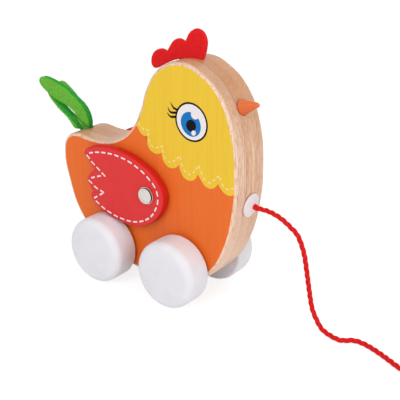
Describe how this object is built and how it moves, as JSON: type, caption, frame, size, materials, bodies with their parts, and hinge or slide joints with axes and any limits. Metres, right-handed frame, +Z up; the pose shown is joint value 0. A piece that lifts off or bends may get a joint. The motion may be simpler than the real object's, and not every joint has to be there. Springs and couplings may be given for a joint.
{
  "type": "pull-along chicken toy",
  "caption": "Wooden pull-along hen on wheels, with wings that swing on a rod, a felt comb and tail, and a red pull cord ending in a wooden bead.",
  "frame": {"origin": "On the floor, under the centre of the toy's bounding box, measured without the pull cord and what is on it", "axes": "+X points forwards, the way the beak points; +Y points to the toy's left; +Z points up"},
  "size_m": [0.3387, 0.0736, 0.174],
  "materials": {
    "wood_painted": "beech board, side face painted orange and yellow, edges bare",
    "wood": "bare sanded beech board",
    "dowel": "plain turned beech",
    "white_wheel": "turned wood, white satin lacquer",
    "red_wing": "sawn wood, red satin lacquer with a printed white stitch line",
    "steel": "plain steel rod",
    "nickel": "nickel-plated push-on cap",
    "nylon": "thin nylon washer",
    "red_felt": "3 mm felt",
    "green_felt": "3 mm felt",
    "orange_beak": "turned wood, orange satin lacquer",
    "white_plastic": "moulded plastic",
    "red_cord": "twisted cotton cord",
    "paper": "paper band"
  },
  "bodies": {
    "toy_body": {"body_board_right": "wood_painted", "body_board_core": "wood", "body_board_left": "wood_painted", "wing_pivot_rod": "steel", "wing_cap_right": "nickel", "wing_cap_left": "nickel", "wing_washer_right": "nylon", "wing_washer_left": "nylon", "comb": "red_felt", "beak": "orange_beak", "tail_leaf_right": "green_felt", "tail_leaf_left": "green_felt", "tail_leaf_rear": "green_felt", "cord_plug": "white_plastic", "cord_inner_knot": "red_cord", "pull_cord": "red_cord", "cord_coil": "red_cord", "coil_band": "paper", "pull_bead": "dowel", "cord_end_knot": "red_cord"},
    "front_wheelset": {"front_axle": "dowel", "front_wheel_right": "white_wheel", "front_wheel_left": "white_wheel"},
    "rear_wheelset": {"rear_axle": "dowel", "rear_wheel_right": "white_wheel", "rear_wheel_left": "white_wheel"},
    "right_wing": {"wing_right": "red_wing"},
    "left_wing": {"wing_left": "red_wing"}
  },
  "joints": [
    {"name": "front_axle_turn", "type": "hinge", "parent": "toy_body", "child": "front_wheelset", "pos_m": [0.0428, 0, 0.0225], "axis": [0, 1, 0], "continuous": true},
    {"name": "rear_axle_turn", "type": "hinge", "parent": "toy_body", "child": "rear_wheelset", "pos_m": [-0.0176, 0, 0.0225], "axis": [0, 1, 0], "continuous": true},
    {"name": "right_wing_swing", "type": "hinge", "parent": "toy_body", "child": "right_wing", "pos_m": [0.0196, -0.0192, 0.0682], "axis": [0, 1, 0], "range_deg": [-0.5, 170]},
    {"name": "left_wing_swing", "type": "hinge", "parent": "toy_body", "child": "left_wing", "pos_m": [0.0196, 0.0192, 0.0682], "axis": [0, 1, 0], "range_deg": [-4.7, 165.8]}
  ]
}
